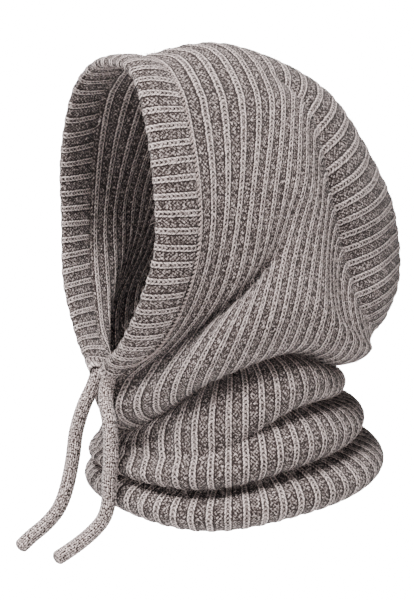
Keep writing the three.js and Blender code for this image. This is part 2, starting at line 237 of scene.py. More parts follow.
def new_tree(kind, name, inputs, outputs):
    """A node tree with named sockets: its node helper, what it is given, and its output node."""
    tree = bpy.data.node_groups.new(name, kind)
    for in_out, sockets in (("INPUT", inputs), ("OUTPUT", outputs)):
        for socket_name, value_type in sockets.items():
            tree.interface.new_socket(
                socket_name, in_out=in_out, socket_type="NodeSocket" + value_type)
    given = tree.nodes.new("NodeGroupInput").outputs
    return Nodes(tree), given, tree.nodes.new("NodeGroupOutput")


# The yarn, the darker fibres in it and the painted shade of the gaps between stitches, then the
# scales of its flecks, patches and fluff, and how it shines.
YARN = (0.88, 0.735, 0.70, 1)
FLECK = (0.32, 0.243, 0.226, 1)
GAP_SHADE = (0.016, 0.010, 0.009, 1)
FLECK_SCALE = 900.0
PATCH_SCALE = 30.0
FLUFF_SCALE = 1400.0
FLUFF_HEIGHT = 0.35
WOOL_ROUGHNESS = 0.92
WOOL_SHEEN = 0.08
SHEEN_ROUGHNESS = 0.5
WOOL_SPECULAR = 0.1


def make_yarn_group():
    """Marled wool: light yarn flecked with darker fibres. Where the given light is low it is mixed
    towards the gap colour, which is painted shade in the gaps between stitches.
    """
    nodes, given, result = new_tree(
        "ShaderNodeTree", "marled_yarn_and_shade",
        {"Light": "Float", "Yarn": "Color", "Fleck": "Color", "Gap_shade": "Color"},
        {"Color": "Color"})
    place = nodes.add("ShaderNodeTexCoord", output="Object")
    fleck = nodes.noise(place, FLECK_SCALE, 2.0, 0.7)
    patch = nodes.noise(place, PATCH_SCALE, 2.0)
    share = nodes.smooth_range(fleck, 0.42, 0.64, 0.0, 0.9)
    shift = nodes.math("MULTIPLY_ADD", patch, 0.3, -0.15)
    share = nodes.add("ShaderNodeClamp", {0: nodes.math("ADD", share, shift)})
    yarn = nodes.mix(share, given["Yarn"], given["Fleck"])
    # Where the light is low, the colour goes to the near-black painted shade of the gaps.
    nodes.feed(result, {"Color": nodes.mix(given["Light"], given["Gap_shade"], yarn)})
    return nodes.tree


marled_yarn_and_shade = make_yarn_group()


def new_material(name):
    """A material with a plain shader, and its node helper."""
    material = bpy.data.materials.new(name)
    material.use_nodes = True
    return material, Nodes(material.node_tree), material.node_tree.nodes["Principled BSDF"]


def new_wool(name):
    """A material with rough wool's shader, and its node helper."""
    material, nodes, shader = new_material(name)
    nodes.feed(shader, {
        "Roughness": WOOL_ROUGHNESS, "Specular IOR Level": WOOL_SPECULAR,
        "Sheen Weight": WOOL_SHEEN, "Sheen Roughness": SHEEN_ROUGHNESS})
    return material, nodes, shader


def finish_wool(nodes, shader, light, height, depth):
    """Joins the stitches' light and height to the shader, with the yarn's own fine fluff."""
    colour = nodes.add(
        "ShaderNodeGroup", {"Light": light, "Yarn": YARN, "Fleck": FLECK, "Gap_shade": GAP_SHADE},
        node_tree=marled_yarn_and_shade)
    fluff = nodes.noise(nodes.add("ShaderNodeTexCoord", output="Object"), FLUFF_SCALE, 2.0)
    height = nodes.math("MULTIPLY_ADD", fluff, FLUFF_HEIGHT, height)
    bump = nodes.add("ShaderNodeBump", {"Strength": 1.0, "Distance": depth, "Height": height})
    nodes.feed(shader, {"Base Color": colour, "Normal": bump})


def make_cord_wool():
    """Stocking stitch wound round the cord; the mesh already carries its relief, and the stitch
    height also paints shade between the stitches' legs.
    """
    material, nodes, shader = new_wool("cord_wool")
    stitch = nodes.add("ShaderNodeAttribute", output="Fac", attribute_name="stitch_height")
    ragged = nodes.noise(nodes.add("ShaderNodeUVMap", uv_map="stitches"), 2.2, 2.0, 0.7)
    # Painted shade between the legs of the stitches, taken from their height; the noise adds random
    # darker patches.
    light = nodes.math("ADD", stitch, nodes.math("MULTIPLY_ADD", ragged, 5.5, -3.12))
    light = nodes.smooth_range(light, -0.3, 1.1, 0.0, 0.92)
    finish_wool(nodes, shader, light, stitch, CORD_BUMP)
    return material


def make_cord(name, route, length, material):
    """One free end of the cord, from where it leaves the band to its rounded tip."""
    route = [(x * MM, y * MM, h * MM + HEM_Z) for x, y, h in route]
    courses = round(length / COURSE)
    path = smooth_path(route, courses * RINGS_PER_COURSE + 1)
    sides, backs = frames_along(path)
    distance = running_length(path)
    angle = np.linspace(0, 2 * np.pi, CORD_SIDES, endpoint=False)[:, None, None]
    wale = np.arange(CORD_SIDES + 1) / CORD_SIDES * CORD_WALES
    course = distance / distance[-1] * courses
    height = stocking_stitch(wale[:-1, None], course)
    from_end = np.minimum((distance[-1] - distance) / CORD_END, 1)
    rounding = np.sqrt(np.maximum(1 - (1 - from_end) ** 2, 0.0))
    inner = CORD_RADIUS - 0.6 * STITCH_DEPTH
    radius = (inner + STITCH_DEPTH * height) * rounding
    surface = path + radius[..., None] * (np.cos(angle) * sides + np.sin(angle) * backs)
    points = np.vstack([surface.reshape(-1, 3), path[:1], path[-1:]])
    start, end = len(points) - 2, len(points) - 1
    index = np.arange(start).reshape(surface.shape[:2])
    index = np.vstack([index, index[:1]])
    coordinates = np.stack(np.broadcast_arrays(wale[:, None], course), axis=-1)
    face_sets = [grid_faces(index[:, ::-1], coordinates[:, ::-1]),
                 fan(index[1:, 0], index[:-1, 0], start, 0.0),
                 fan(index[:-1, -1], index[1:, -1], end, 0.0)]
    cord = make_piece("draw" + name, points, face_sets, material)
    relief = cord.data.attributes.new("stitch_height", "FLOAT", "POINT")
    relief.data.foreach_set("value", np.concatenate([height.ravel(), [0.0, 1.0]]))
    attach(cord, "root")
    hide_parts(name)


cord_wool = make_cord_wool()
for cord_name, cord_route in CORD_ROUTES.items():
    make_cord(cord_name, cord_route, CORD_LENGTHS[cord_name], cord_wool)

# Hood and neck: one ribbed tube of chunky wool knit, from the hem that lies folded under at
# the bottom, up through the neck's rolls and the side panels to the crown. Nothing holds the
# rolls but the folds of the knit.
HEIGHT = 0.371
HALF_WIDTH = 0.100
HALF_DEPTH = 0.100
NECK_RADIUS = 0.100
NECK_CENTRE_Y = 0.005
WALL = 0.0035
RIBS_PER_SIDE = 26
RELAXED_PITCH = 0.009
MIRROR = np.array([-1.0, 1.0, 1.0])

# The rolled neck, from the hem up: how the cloth folds at a row and how far it runs straight
# on, its heights as shares of HEIGHT above the hem, and its radii as shares of NECK_RADIUS.
# The columns go round from the front by way of the wearer's left.
#    fold     pull  front  l.front left   l.back back   r.back right  r.front
NECK_HEIGHTS = [
    ("plain", 1.0, [0.043, 0.032, 0.059, 0.073, 0.078, 0.070, 0.054, 0.043]),
    ("crest", 0.9, [0.022, 0.008, 0.035, 0.049, 0.054, 0.046, 0.030, 0.022]),
    ("crest", 1.0, [0.065, 0.049, 0.081, 0.100, 0.108, 0.094, 0.075, 0.065]),
    ("cleft", 0.6, [0.100, 0.089, 0.129, 0.151, 0.162, 0.146, 0.119, 0.102]),
    ("crest", 1.0, [0.124, 0.129, 0.189, 0.200, 0.205, 0.192, 0.170, 0.124]),
    ("cleft", 0.6, [0.140, 0.175, 0.248, 0.243, 0.237, 0.232, 0.218, 0.145]),
    ("crest", 0.9, [0.156, 0.243, 0.302, 0.276, 0.267, 0.268, 0.268, 0.170]),
    ("cleft", 0.6, [0.189, 0.310, 0.361, 0.310, 0.300, 0.305, 0.334, 0.226]),
]
NECK_RADII = [
    [0.84, 0.85, 0.85, 0.85, 0.85, 0.85, 0.85, 0.84],
    [1.03, 1.03, 1.02, 1.02, 1.02, 1.02, 1.02, 1.03],
    [1.21, 1.19, 1.20, 1.23, 1.22, 1.19, 1.19, 1.21],
    [1.09, 0.99, 0.98, 0.99, 0.99, 0.99, 1.01, 1.10],
    [1.18, 1.14, 1.11, 1.07, 1.05, 1.08, 1.11, 1.17],
    [1.12, 1.05, 0.91, 0.86, 0.85, 0.87, 0.94, 1.11],
    [1.08, 1.07, 1.03, 0.92, 0.91, 0.94, 1.01, 1.08],
    [0.98, 0.91, 0.87, 0.85, 0.82, 0.84, 0.88, 0.97],
]

# The hood above the neck: stations follow the ribs from the front edge to the back, as x, y
# and z on the wearer's left in shares of HALF_WIDTH, HALF_DEPTH and HEIGHT. On the right the
# row lies lower by the drop.
#    fold     pull  drop   stations
HOOD_ROWS = [
    ("crest", 1.0, 0.010, [  # first roll
        (0.00, -1.14, 0.243), (0.75, -0.86, 0.350), (1.03, -0.36, 0.431), (1.06, 0.10, 0.460),
        (1.03, 0.46, 0.400), (0.89, 0.78, 0.358), (0.00, 1.22, 0.332)]),
    ("cleft", 0.6, 0.008, [  # slanting crease
        (0.00, -1.07, 0.302), (0.77, -0.50, 0.474), (0.96, -0.15, 0.571), (1.01, 0.18, 0.526),
        (1.00, 0.41, 0.442), (0.94, 0.71, 0.382), (0.00, 1.26, 0.336)]),
    ("plain", 1.0, 0.004, [  # jaw
        (0.52, -0.93, 0.399), (0.90, -0.44, 0.550), (0.94, -0.04, 0.647), (0.97, 0.23, 0.580),
        (0.98, 0.39, 0.485), (0.96, 0.67, 0.402), (0.00, 1.30, 0.341)]),
    ("plain", 1.0, 0.000, [  # side of the head
        (0.86, -0.81, 0.606), (0.92, -0.36, 0.674), (0.92, 0.08, 0.728), (0.94, 0.28, 0.639),
        (0.96, 0.40, 0.528), (0.95, 0.65, 0.422), (0.00, 1.36, 0.347)]),
    ("crest", 0.7, 0.000, [  # side ridge
        (0.64, -0.80, 0.892), (0.68, -0.13, 0.895), (0.74, 0.24, 0.868), (0.90, 0.34, 0.690),
        (0.92, 0.46, 0.562), (0.93, 0.65, 0.436), (0.00, 1.42, 0.353)]),
    ("cleft", 0.8, 0.000, [  # gutter behind it
        (0.40, -0.78, 0.950), (0.42, -0.10, 0.965), (0.64, 0.37, 0.862), (0.78, 0.49, 0.680),
        (0.80, 0.61, 0.552), (0.82, 0.80, 0.427), (0.00, 1.45, 0.359)]),
    ("plain", 0.9, 0.000, [  # back panel
        (0.20, -0.77, 0.970), (0.21, -0.06, 0.992), (0.42, 0.68, 0.890), (0.60, 1.00, 0.697),
        (0.60, 1.14, 0.563), (0.58, 1.20, 0.440), (0.00, 1.48, 0.366)]),
    ("plain", 0.8, 0.000, [  # crown and back
        (0.00, -0.76, 0.976), (0.00, -0.04, 1.000), (0.00, 0.86, 0.897), (0.00, 1.46, 0.700),
        (0.00, 1.65, 0.563), (0.00, 1.64, 0.444), (0.00, 1.50, 0.372)]),
]
# How far up the hood the ribs have risen where they cross these rows of the back.
RIB_RISE = {6: 0.045, 7: 0.070}
NECK_ROWS = len(NECK_HEIGHTS)
CHIN_ROW = NECK_ROWS + 1
CROWN_ROW = NECK_ROWS + len(HOOD_ROWS) - 1
ROW_FOLDS = [row[:2] for row in NECK_HEIGHTS + HOOD_ROWS]
ON_ROW = 1e-9
HEAD_MIDDLE_Z = -0.4 * HEIGHT
# From the shallow depth on, a cleft's cloth turns in, and from the deep one on it lies doubled
# over the cleft's width. It flattens out near the front edge and the middle of the back. The
# crease keeps only a share of its depth on the right.
SHALLOW_CLEFT = 0.001
DEEP_CLEFT = 0.010
CLEFT_WIDTH = 0.45
EDGE_FADE = 0.12
RIGHT_CREASE = 0.25
# The hollow above the slanting crease: depth at places round the side, and the levels above
# the crease where it starts, is deepest and ends.
CREASE_TURNS = [0.02, 0.09, 0.17, 0.26, 0.36]
CREASE_DEPTHS = [0.0, 0.0065, 0.0085, 0.0065, 0.0]
CREASE_LEVELS = [-0.05, 0.16, 0.75]
# What the valleys' middles sink in further, in the same eight columns as the neck, and how
# many levels to either side this reaches. A column below zero is left as it is.
VALLEY_DEPTHS = {
    3: [0.005, 0.009, 0.007, 0.005, 0.003, 0.003, 0.004, 0.005],
    5: [0.000, -0.007, 0.009, 0.010, 0.005, 0.003, 0.004, 0.002],
    7: [0.004, 0.012, 0.015, 0.013, 0.006, 0.004, 0.006, 0.004],
}
VALLEY_REACH = 0.55
# How far the gutter behind the side ridge sinks in further, at places from the front edge to
# the middle of the back.
GUTTER_ROW = NECK_ROWS + 5
GUTTER_PLACES = [0.20, 0.33, 0.50, 0.67, 0.80, 0.90]
GUTTER_DEPTHS = [0.0, 0.009, 0.014, 0.014, 0.008, 0.0]
GUTTER_REACH = 0.7
# At the wearer's front left the ribs below the topmost valley are gathered: they sink in, bow
# towards the front and stand up as rounded pleats.
GATHER_CENTRE = (0.0310, -0.0960, -0.3000)
GATHER_DIRECTION = (0.84, 0.37, 0.36)
GATHER_SHIFT = (-0.0185, 0.0085, 0.0015)
GATHER_LENGTH = 0.028
GATHER_WIDTH = 0.015
GATHER_RELIEF = 3.0

# One rib, from the middle of its raised pair of wales to the middle of the purl hollow: place
# in ribs, and height. The two wales stand out, with a slight dip between them.
WALE_PLACE = 0.13
RIB_PLACES = [0.00, WALE_PLACE, 0.26, 0.50]
RIB_HEIGHTS = [0.0002, 0.0004, -0.0002, -0.0004]
RIM_PLACE = 0.40
INNER_RIB_DEPTH = 0.0009
OUTER_ROW_STEP = 0.0033
# A rib narrower than the open one draws its wales together by at most this factor, and little
# of the relief is left where cloth lies on cloth.
OPEN_RIB_WIDTH = 0.0125
MOST_SPREAD = 1.2
CLEFT_RELIEF = 0.35
CLEFT_REACH = 0.12
# Places in the rib between which a wale, the dashes between the two wales and the purl hollow
# fade, and how the stitches stray: scale, and reach across and along.
WALE_FADE = (0.015, 0.080)
DASH_FADE = (0.06, 0.10)
PURL_FADE = (0.215, 0.31)
PURL_COLUMNS = 5.0
DRIFTS = ((0.6, (0.5, 1.0, 0)), (3.2, (0.5, 3.0, 0)))
TUFT_SCALE = 520.0


def through_four(a, b, c, d, f):
    """Cubic through b and c, with the slope at each taken from its neighbours."""
    return hermite(b, (c - a) / 2, c, (d - b) / 2, f)


def through_stations(before, stations, after, share):
    """Points on a smooth line through stations, at shares from 0 to 1 of the way along."""
    spread = np.vstack([before, stations, after])
    last = len(stations) - 1
    place = np.clip(share * last, 0, last - 1e-9)
    i = np.floor(place).astype(int)
    return through_four(*[spread[i + k] for k in range(4)], (place - i)[:, None])


def round_neck(columns, turn):
    """Values round the neck from eight columns; turn runs 0 to 1 by way of the left."""
    values = np.array(columns)
    place = turn * len(values)
    i = np.floor(place).astype(int)
    at = [values[(i + k) % len(values)] for k in (-1, 0, 1, 2)]
    return through_four(*at, place - i)


def eased(share):
    """The same share from 0 to 1, but flat at both ends."""
    return share * share * (3 - 2 * share)


def from_front(turn):
    """Share of the way from the front edge to the middle of the back, on either side."""
    return np.where(turn > 1, 2 - turn, turn)


def neck_row(row, turn):
    """A row of the neck, which goes round on both sides."""
    radius = NECK_RADIUS * round_neck(NECK_RADII[row], turn / 2)
    angle = np.pi * turn
    return np.stack([
        radius * np.sin(angle),
        NECK_CENTRE_Y - radius * np.cos(angle),
        HEIGHT * (round_neck(NECK_HEIGHTS[row][2], turn / 2) - 1) + WALL,
    ], axis=1)


def hood_row(row, turn):
    """A row of the hood, which is drawn on the left and mirrored on the right."""
    _, _, drop, stations = HOOD_ROWS[row]
    stations = np.array(stations)
    before = stations[1] * MIRROR if stations[0][0] == 0 else 2 * stations[0] - stations[1]
    share = from_front(turn)
    share = share - RIB_RISE.get(row, 0) * np.sin(np.pi * share) ** 2
    side = np.where(turn > 1, -1.0, 1.0)
    value = through_stations(before, stations, stations[-2] * MIRROR, share)
    lower = np.where(side < 0, drop * np.sin(np.pi * share), 0)
    return np.stack([
        side * HALF_WIDTH * value[:, 0],
        HALF_DEPTH * value[:, 1],
        HEIGHT * (value[:, 2] - lower - 1) + WALL,
    ], axis=1)


def row_points(row, turn):
    """One row of the cloth; past the crown it goes down again on the other side."""
    if row > CROWN_ROW:
        return row_points(2 * CROWN_ROW - row, 2 - turn)
    if row < NECK_ROWS:
        return neck_row(row, turn)
    points = hood_row(row - NECK_ROWS, turn)
    if row == CHIN_ROW:
        smooth = (row_points(row - 1, turn) + row_points(row + 1, turn)) / 2
        ends = np.clip(np.stack([2 - turn, turn - 1]) / EDGE_FADE, 0, 1)
        softened = (1 - RIGHT_CREASE) * np.prod(eased(ends), axis=0)
        points = points + (smooth - points) * softened[:, None]
    return points


def row_slopes(row, turn):
    """Slopes of the cloth where it arrives at a row and where it leaves it."""
    here = row_points(row, turn)
    above = row_points(row + 1, turn)
    below = row_points(row - 1, turn) if row > 0 else 2 * here - above
    fold, pull = ROW_FOLDS[row]
    length_above = length_of(above - here)
    length_below = length_of(here - below)
    along = unit((above - here) / length_above + (here - below) / length_below)
    arrive = along * length_below * pull
    leave = along * length_above * pull
    if fold == "cleft":
        reach = length_below / (length_above + length_below)
        straight = below + (above - below) * reach
        middle = here * (0, 0, 1)
        middle[:, 1] = NECK_CENTRE_Y
        middle[:, 2] = np.minimum(middle[:, 2], HEAD_MIDDLE_Z)
        depth = length_of(straight - middle) - length_of(here - middle)
        share = np.clip((depth - SHALLOW_CLEFT) / (DEEP_CLEFT - SHALLOW_CLEFT), 0, 1)
        if row >= CHIN_ROW:
            from_edge = np.minimum(from_front(turn), np.abs(1 - turn))
            share = share * np.minimum(from_edge / EDGE_FADE, 1)[:, None]
        outwards = unit(straight - here) * share * pull
        kept = 1 - share * (1 - CLEFT_WIDTH)
        arrive = arrive * kept - outwards * length_below
        leave = leave * kept + outwards * length_above
    return here, arrive, leave


def near_row(levels, row, reach):
    """Share from 0 to 1 of a fold that is deepest at a row and fades out above and below it."""
    return np.clip(1 - np.abs(levels - row) / reach, 0, 1) ** 2


def crease_hollow(turn, levels):
    """How far the cheek's cloth sinks just above the slanting crease."""
    across = np.interp(turn, CREASE_TURNS, CREASE_DEPTHS)
    return across[:, None] * eased(np.interp(levels - CHIN_ROW, CREASE_LEVELS, [0, 1, 0]))


def valley_hollow(turn, levels):
    """How much deeper the neck's valleys go than the smooth cloth."""
    return sum(
        np.maximum(round_neck(depths, turn / 2), 0)[:, None] * near_row(levels, row, VALLEY_REACH)
        for row, depths in VALLEY_DEPTHS.items())


def gutter_hollow(turn, levels):
    """How much deeper the gutter goes than the smooth cloth."""
    across = np.interp(from_front(turn), GUTTER_PLACES, GUTTER_DEPTHS)
    return across[:, None] * near_row(levels, GUTTER_ROW, GUTTER_REACH)


def gathered(grid):
    """Share from 0 to 1 of the gathers at each point."""
    offset = grid - GATHER_CENTRE
    along = offset @ unit(GATHER_DIRECTION)
    aside_squared = (offset ** 2).sum(axis=-1) - along ** 2
    return np.exp(-(along / GATHER_LENGTH) ** 2 - aside_squared / GATHER_WIDTH ** 2)


def cloth_grid(turn, levels):
    """Points of the cloth's outer face, one column for each turn and one row for each level.
    turn runs 0 to 1 from the front to the back on the left, and on to 2 at the front again."""
    rows = [row_slopes(row, turn) for row in range(CROWN_ROW + 1)]
    grid = np.empty((len(turn), len(levels), 3))
    for k, level in enumerate(levels):
        row = min(int(level), CROWN_ROW - 1)
        start, _, leave = rows[row]
        end, arrive, _ = rows[row + 1]
        grid[:, k] = hermite(start, leave, end, arrive, level - row)
    hollow = sum(sink(turn, levels) for sink in (crease_hollow, valley_hollow, gutter_hollow))
    grid = grid - hollow[..., None] * unit(grid * (1, 1, 0) - (0, NECK_CENTRE_Y, 0))
    return grid + gathered(grid)[..., None] * GATHER_SHIFT


def even_levels(step):
    """Levels that lie about one step apart along the cloth."""
    coarse = np.linspace(0, 2, 53)
    levels = [0.0]
    for row in range(CROWN_ROW):
        inside = cloth_grid(coarse, row + np.linspace(0, 1, 9))
        length = running_length(inside)[:, -1].mean()
        count = max(1, round(length / step))
        levels.extend(row + (k + 1) / count for k in range(count))
    return np.array(levels)


def grid_normals(grid, levels):
    """Outward normals of a cloth grid."""
    closed = levels < CHIN_ROW - ON_ROW
    across = np.gradient(grid, axis=0)
    across[0, closed] = across[-1, closed] = (grid[1, closed] - grid[-2, closed]) / 2
    up = np.gradient(grid, axis=1)
    crown = grid[:, -1] - grid[:, -2]
    up[:, -1] = (crown - crown[::-1]) / 2
    return unit(np.cross(across, up))


def rib_columns(count):
    """Places of the mesh's columns across a number of ribs, counted in ribs."""
    one = np.unique([p for place in RIB_PLACES for p in (place, 1 - place)])[:-1]
    return np.concatenate([k + one for k in range(count)] + [[count]])


def drawn_ribs(rib, width):
    """Places in the drawn rib: where ribs are squeezed, the wales keep their width and the
    purl hollow between them closes."""
    nearest = np.round(rib)[:, None]
    from_middle = rib[:, None] - nearest
    spread = np.clip(OPEN_RIB_WIDTH / np.maximum(width, 1e-6), 1, MOST_SPREAD)
    return nearest + np.where(np.abs(from_middle) < 0.45, from_middle / spread, from_middle)


def rib_height(rib):
    """Height of the ribbed face at a place counted in ribs."""
    return np.interp(np.abs(rib - np.round(rib)), RIB_PLACES, RIB_HEIGHTS)


def relief_share(levels):
    """How much of the ribs' relief is left near the clefts, where cloth presses on cloth."""
    rows = [row for row, (fold, _) in enumerate(ROW_FOLDS) if fold == "cleft"]
    distance = np.min([np.abs(levels - row) for row in rows], axis=0)
    return CLEFT_RELIEF + (1 - CLEFT_RELIEF) * np.clip(distance / CLEFT_REACH, 0, 1)


def rib_widths(turn, grid):
    """Width of a rib at each point of the grid."""
    across = np.linalg.norm(np.gradient(grid, axis=0), axis=2)
    return across / (np.gradient(turn) * RIBS_PER_SIDE)[:, None]


def ribbed_faces(index, rib, grid):
    """Quads of a ribbed grid with their UVs. Each run of courses is counted along the middle
    of its own pair of wales or purl hollow, so that the stitches stay square to the ribs."""
    faces, _ = grid_faces(index, np.zeros(index.shape + (2,)))
    between = (rib[:-1, 0] + rib[1:, 0]) / 2
    centre = np.argmin(np.abs(rib[None, :, 0] - np.round(2 * between)[:, None] / 2), axis=1)
    course = running_length(grid)[centre]
    along = unit(np.gradient(grid, axis=1))[centre]
    first, second = (
        (course + np.einsum("ijk,ijk->ij", side - grid[centre], along)) / COURSE
        for side in (grid[:-1], grid[1:]))
    corners = [(rib[:-1, :-1], first[:, :-1]), (rib[1:, :-1], second[:, :-1]),
               (rib[1:, 1:], second[:, 1:]), (rib[:-1, 1:], first[:, 1:])]
    uvs = np.stack([np.stack(corner, axis=-1) for corner in corners], axis=-2)
    return faces, uvs.reshape(-1, 4, 2)


def turned_over(faces, uvs):
    """The same faces looking the other way."""
    return faces[:, ::-1], uvs[:, ::-1]


def shared_index(columns, levels, first):
    """Vertex numbers of a grid that is closed down the front and along the crown."""
    index = first + np.arange(columns * len(levels)).reshape(columns, len(levels))
    closed = levels < CHIN_ROW + ON_ROW
    index[-1, closed] = index[0, closed]
    half = (columns + 1) // 2
    index[columns - half:, -1] = index[:half, -1][::-1]
    return index


def strip_faces(near, far):
    """Triangles between two edges whose points both run from first to last."""
    faces = []
    i = j = 0
    while i < len(near) - 1 or j < len(far) - 1:
        next_near = (i + 1) / (len(near) - 1)
        next_far = (j + 1) / (len(far) - 1)
        if j == len(far) - 1 or (i < len(near) - 1 and next_near <= next_far):
            faces.append((near[i], near[i + 1], far[j]))
            i += 1
        else:
            faces.append((near[i], far[j + 1], far[j]))
            j += 1
    return np.array(faces)


def make_rib_group():
    """Two by two rib from a place counted in ribs across and courses along: a pair of bright
    wales with dark dashes between them, and a hollow of purl bumps beside them. The light follows
    the height, so the dark between the wales and in the purl hollow is painted shade."""
    nodes, given, result = new_tree(
        "ShaderNodeTree", "rib_stitches", {"Place": "Vector", "Wander": "Float"},
        {"Height": "Float", "Light": "Float"})
    place = given["Place"]
    for scale, reach in DRIFTS:
        drift = nodes.noise(place, scale, 2.0, output="Color")
        drift = nodes.vector("SUBTRACT", drift, (0.5, 0.5, 0.5))
        drift = nodes.scaled(nodes.vector("MULTIPLY", drift, reach), given["Wander"])
        place = nodes.vector("ADD", place, drift)
    split = nodes.add("ShaderNodeSeparateXYZ", {0: place}).node
    course = split.outputs["Y"]
    from_middle = nodes.math("PINGPONG", split.outputs["X"], 0.5)
    beat = nodes.math("SINE", nodes.math("MULTIPLY", course, 2 * math.pi))

    from_wale = nodes.math("ABSOLUTE", nodes.math("SUBTRACT", from_middle, WALE_PLACE))
    wale = nodes.smooth_range(from_wale, *WALE_FADE, 1.0, 0.0)
    slant = nodes.math("MULTIPLY_ADD", from_middle, 6.0, course)
    bead = nodes.math("ABSOLUTE", nodes.math("SINE", nodes.math("MULTIPLY", slant, math.pi)))
    wale_height = nodes.math("MULTIPLY", wale, nodes.smooth_range(bead, 0.0, 0.85, 0.25, 1.0))

    # Between the wales: dashes of yarn at middling light, with painted shade around them.
    middle = nodes.smooth_range(from_middle, *DASH_FADE, 1.0, 0.0)
    dash = nodes.math("MULTIPLY", middle, nodes.smooth_range(beat, -0.9, 0.5, 0.12, 0.45))

    # The purl hollow reaches only about half light: painted shade in the hollow, with random
    # speckle.
    purl = nodes.smooth_range(from_middle, *PURL_FADE, 0.0, 1.0)
    column = nodes.math("MULTIPLY", from_middle, PURL_COLUMNS)
    column = nodes.math("COSINE", nodes.math("MULTIPLY", column, 2 * math.pi))
    loose = nodes.noise(nodes.vector("MULTIPLY", place, (7.5, 1.8, 1.0)), 1.0, 1.0, 0.6)
    loose = nodes.math("MULTIPLY_ADD", loose, 3.6, -1.8)
    speckle = nodes.math("MULTIPLY_ADD", nodes.math("MULTIPLY", column, beat), 0.50, loose)
    speckle = nodes.smooth_range(speckle, -0.8, 1.1, -0.02, 0.56)
    purl_height = nodes.math("MULTIPLY", purl, speckle)

    height = nodes.math("MAXIMUM", nodes.math("MAXIMUM", wale_height, purl_height), dash)
    tuft = nodes.add("ShaderNodeTexCoord", output="Object")
    ragged = nodes.noise(tuft, TUFT_SCALE, 3.0, 0.8)
    height = nodes.math("ADD", height, nodes.math("MULTIPLY_ADD", ragged, 2.0, -1.0))
    # Light from height: low places between and beside the wales get painted shade.
    light = nodes.smooth_range(height, 0.10, 0.95, 0.0, 1.0)
    nodes.feed(result, {"Height": height, "Light": light})
    return nodes.tree


rib_stitches = make_rib_group()


def make_rib_wool(name, depth, wander):
    """Ribbed wool, by how deep its stitches look and how far they stray."""
    material, nodes, shader = new_wool(name)
    place = nodes.add("ShaderNodeUVMap", uv_map="stitches")
    stitches = nodes.add(
        "ShaderNodeGroup", {"Place": place, "Wander": wander}, node_tree=rib_stitches).node
    finish_wool(nodes, shader, stitches.outputs["Light"], stitches.outputs["Height"], depth)
    return material


def mark_outer(piece, count):
    """Marks the first faces of a piece as its outer face, where loose fibres grow."""
    outer = piece.data.attributes.new("outer", "BOOLEAN", "FACE")
    outer.data.foreach_set("value", np.arange(len(piece.data.polygons)) < count)


def make_knit_body():
    """The outer and inner faces of the knit, joined along the hem and the front edges."""
    outer_turn = rib_columns(2 * RIBS_PER_SIDE) / RIBS_PER_SIDE
    inner_turn = np.linspace(0, 2, 8 * RIBS_PER_SIDE + 1)
    outer_levels = even_levels(OUTER_ROW_STEP)
    inner_levels = outer_levels[::2] if len(outer_levels) % 2 else outer_levels
    points = []
    face_sets = []
    edges = []
    for turn, levels, outer in ((outer_turn, outer_levels, True), (inner_turn, inner_levels, False)):
        grid = cloth_grid(turn, levels)
        width = rib_widths(turn, grid)
        squeeze = np.minimum(width / RELAXED_PITCH, 1) * relief_share(levels)
        squeeze = (squeeze * (1 + GATHER_RELIEF * gathered(grid)))[..., None]
        rib = turn * RIBS_PER_SIDE
        drawn = drawn_ribs(rib, width)
        index = shared_index(len(turn), levels, sum(len(group) for group in points))
        if outer:
            relief = squeeze * rib_height(drawn)[..., None]
            face_sets.append(ribbed_faces(index, drawn, grid))
        else:
            relief = squeeze * INNER_RIB_DEPTH * np.cos(2 * np.pi * rib)[:, None, None] - WALL
            face_sets.append(turned_over(*ribbed_faces(index, drawn + 0.5, grid)))
        surface = grid + grid_normals(grid, levels) * relief
        surface[0, levels < CHIN_ROW + ON_ROW, 0] = 0.0
        surface[:, -1, 0] = 0.0
        points.append(surface.reshape(-1, 3))
        chin = int(np.argmax(levels > CHIN_ROW - ON_ROW))
        edges.append((index[:, 0], index[0, chin:], index[-1, chin:]))
    (outer_hem, outer_left, outer_right), (inner_hem, inner_left, inner_right) = edges
    points = np.vstack(points)
    for near, far in ((inner_hem, outer_hem), (outer_left, inner_left), (inner_right, outer_right)):
        rim = strip_faces(near, far)
        along_rim = points[rim][..., 2:] / COURSE
        face_sets.append((rim, np.concatenate([np.full_like(along_rim, RIM_PLACE), along_rim], -1)))
    body = make_piece("hood_and_neck", points, face_sets, body_wool)
    mark_outer(body, len(face_sets[0][0]))
    return body


body_wool = make_rib_wool("body_wool", depth=0.0012, wander=0.16)
knit_body = make_knit_body()
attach(knit_body, "root")
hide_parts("knit_body")

# Face band: wool rib knitted across and folded over into a casing for the drawcord. It is
# sewn to the front edge of the hood, and its two open ends meet in a V under the chin.
# Front edge from the middle of the chin to the crown, in the same shares as the hood.
BAND_EDGE = [
    (0.03, -1.22, 0.320), (0.19, -1.22, 0.356), (0.37, -1.20, 0.405), (0.60, -1.17, 0.495),
    (0.73, -1.11, 0.612), (0.72, -1.12, 0.755), (0.55, -1.11, 0.888), (0.31, -1.08, 0.952),
    (0.00, -1.06, 0.965),
]
# Section: place across its width from the front edge to the seam, and how far the knit stands
# out of its middle, in millimetres.
BAND_SECTION = [
    (0.00, 0.0), (0.05, 3.0), (0.28, 5.2), (0.62, 5.0), (0.90, 3.2), (1.00, 1.8),
    (1.00, -1.8), (0.65, -3.4), (0.28, -3.9), (0.05, -2.8),
]
# Share of the band's edge that each row of the hood from the chin up has reached.
BAND_SHARES = [0, 0.25, 0.5, 0.75, 0.86, 0.93, 1]
BAND_START = 9.35
BAND_RIBS_PER_SIDE = 24
# The band's ribs are a share of the hood's in height, and end just before the seam.
BAND_RIB_DEPTH = 0.75
RIB_END = 0.06
POINTS_PER_SECTION_SPAN = 6
SEAM_GAP = 0.0005
TURNED_EDGE = 0.0013
EDGE_TURNS = [0.0, 0.004, 0.008]
